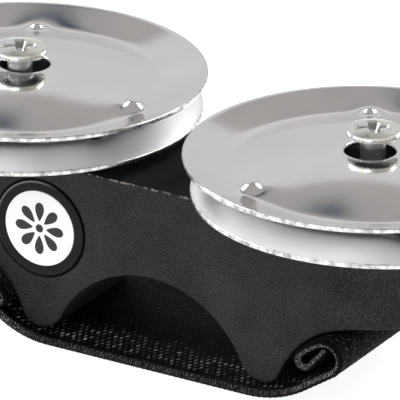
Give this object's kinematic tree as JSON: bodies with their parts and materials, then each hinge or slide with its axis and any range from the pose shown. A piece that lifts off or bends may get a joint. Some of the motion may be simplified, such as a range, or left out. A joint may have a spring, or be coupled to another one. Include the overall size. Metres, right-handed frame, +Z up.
{
  "type": "finger cymbals",
  "caption": "Black finger block with loose back-to-back steel jingle pairs on pan-head screws and an elastic strap that holds it to the fingers.",
  "frame": {"origin": "centre of the strap's flat underside, on which the part rests", "axes": "+X from the left jingle pair to the right one, -Y towards the label, +Z up along the jingle screws"},
  "size_m": [0.115, 0.0562, 0.04],
  "materials": {
    "moulded_black": "fine matte grain",
    "label_black": "satin print",
    "label_white": "satin print",
    "zinc_plate": "bright zinc plating",
    "jingle_steel": "polished with fine turning marks",
    "elastic_webbing": "woven elastic"
  },
  "bodies": {
    "block": {"body": "moulded_black", "label_ring": "label_black", "label_face": "label_white", "jingle_screw_left": "zinc_plate", "jingle_screw_right": "zinc_plate", "finger_strap": "elastic_webbing", "strap_tack_left_front": "zinc_plate", "strap_tack_left_back": "zinc_plate", "strap_tack_right_front": "zinc_plate", "strap_tack_right_back": "zinc_plate"},
    "washer_left": {"spacer_washer_left": "zinc_plate"},
    "lower_left": {"jingle_lower_left": "jingle_steel"},
    "upper_left": {"jingle_upper_left": "jingle_steel"},
    "washer_right": {"spacer_washer_right": "zinc_plate"},
    "lower_right": {"jingle_lower_right": "jingle_steel"},
    "upper_right": {"jingle_upper_right": "jingle_steel"}
  },
  "joints": [
    {"name": "left_spin", "type": "hinge", "parent": "block", "child": "washer_left", "pos_m": [-0.0296, 0, 0.0283], "axis": [0, 0, 1], "continuous": true},
    {"name": "left_lower_rise", "type": "slide", "parent": "washer_left", "child": "lower_left", "axis": [0, 0, 1], "range_m": [0, 0.0008]},
    {"name": "left_upper_rise", "type": "slide", "parent": "lower_left", "child": "upper_left", "axis": [0, 0, 1], "range_m": [0, 0.0009]},
    {"name": "right_spin", "type": "hinge", "parent": "block", "child": "washer_right", "pos_m": [0.0296, 0, 0.0283], "axis": [0, 0, 1], "continuous": true},
    {"name": "right_lower_rise", "type": "slide", "parent": "washer_right", "child": "lower_right", "axis": [0, 0, 1], "range_m": [0, 0.0008]},
    {"name": "right_upper_rise", "type": "slide", "parent": "lower_right", "child": "upper_right", "axis": [0, 0, 1], "range_m": [0, 0.0009]}
  ]
}
